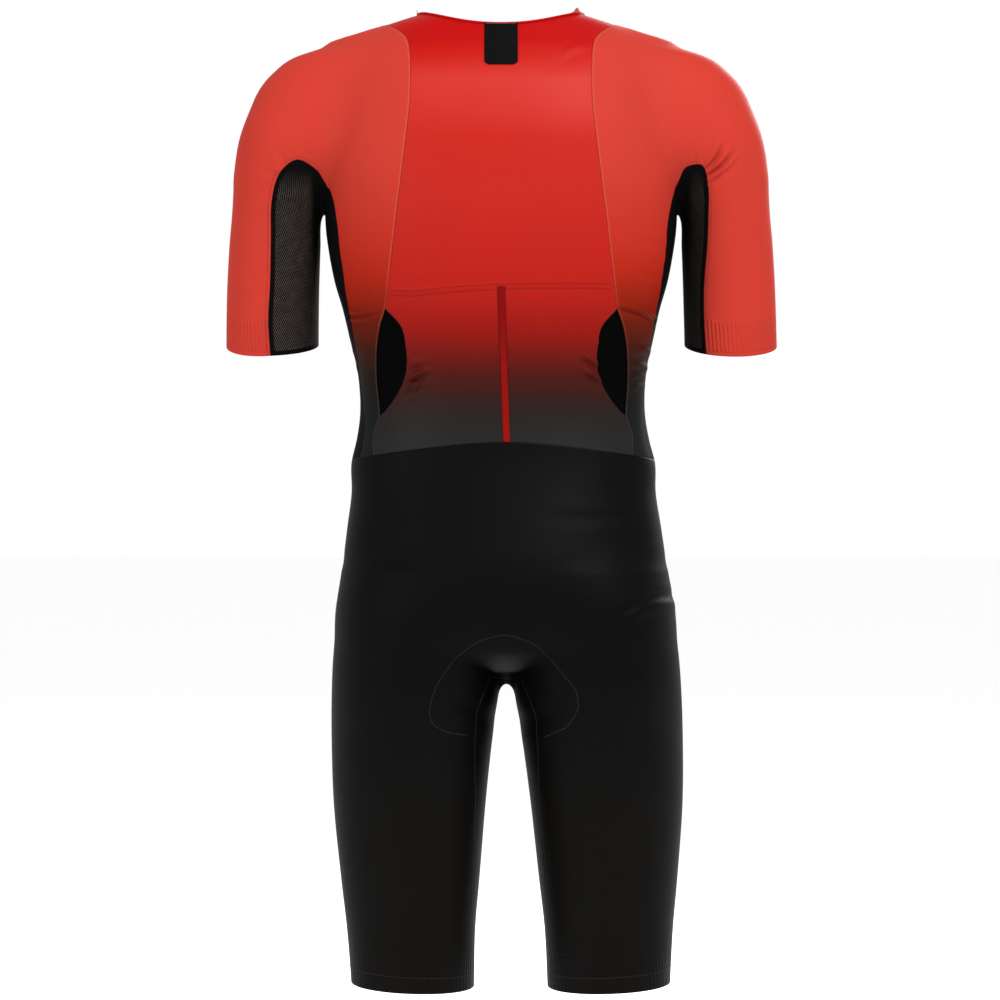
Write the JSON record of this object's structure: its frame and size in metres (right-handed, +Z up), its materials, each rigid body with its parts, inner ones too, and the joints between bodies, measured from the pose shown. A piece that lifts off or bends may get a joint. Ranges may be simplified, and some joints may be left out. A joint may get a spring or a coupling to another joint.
{
  "type": "triathlon suit",
  "caption": "One-piece short-sleeved triathlon suit with a front zip, raglan sleeves, back pockets and knee-length legs, filled out and open at neck, cuffs and hems.",
  "frame": {"origin": "midway between the tops of the wearer's shoulders, at the base of the neck", "axes": "+Z up, the chest faces -Y, the back faces +Y, +X to the wearer's left"},
  "size_m": [0.5574, 0.2422, 0.974],
  "materials": {
    "sleeve_knit": "smooth stretch knit, coral fading to slate grey at the waist",
    "body_knit": "smooth stretch knit with a sheen, red fading to charcoal at the waist",
    "mesh_knit": "black open-look mesh knit",
    "shorts_knit": "black satin stretch knit",
    "lining_knit": "matt black knit",
    "pad_foam": "dark grey brushed foam",
    "label_tape": "dark woven label, bare",
    "divider_tape": "red woven tape",
    "zip_teeth": "black moulded coil",
    "zip_metal": "black painted metal"
  },
  "bodies": {
    "suit": {"back_panel": "body_knit", "pocket_lining": "lining_knit", "pocket_tape": "divider_tape", "neck_label": "label_tape", "neck_binding": "body_knit", "sleeve_left": "sleeve_knit", "sleeve_right": "sleeve_knit", "underarm_mesh_left": "mesh_knit", "underarm_mesh_right": "mesh_knit", "front_left": "body_knit", "front_right": "body_knit", "zip_chain": "zip_teeth", "zip_slider": "zip_metal", "shorts_back": "shorts_knit", "shorts_front_left": "shorts_knit", "shorts_front_right": "shorts_knit", "inner_leg_left": "shorts_knit", "inner_leg_right": "shorts_knit", "seat_pad": "pad_foam"},
    "tab": {"pull_tab": "zip_metal"}
  },
  "joints": [
    {"name": "tab_hinge", "type": "hinge", "parent": "suit", "child": "tab", "pos_m": [-0.00003, -0.10405, -0.07572], "axis": [-1, 0, 0], "range_deg": [0, 150]}
  ]
}
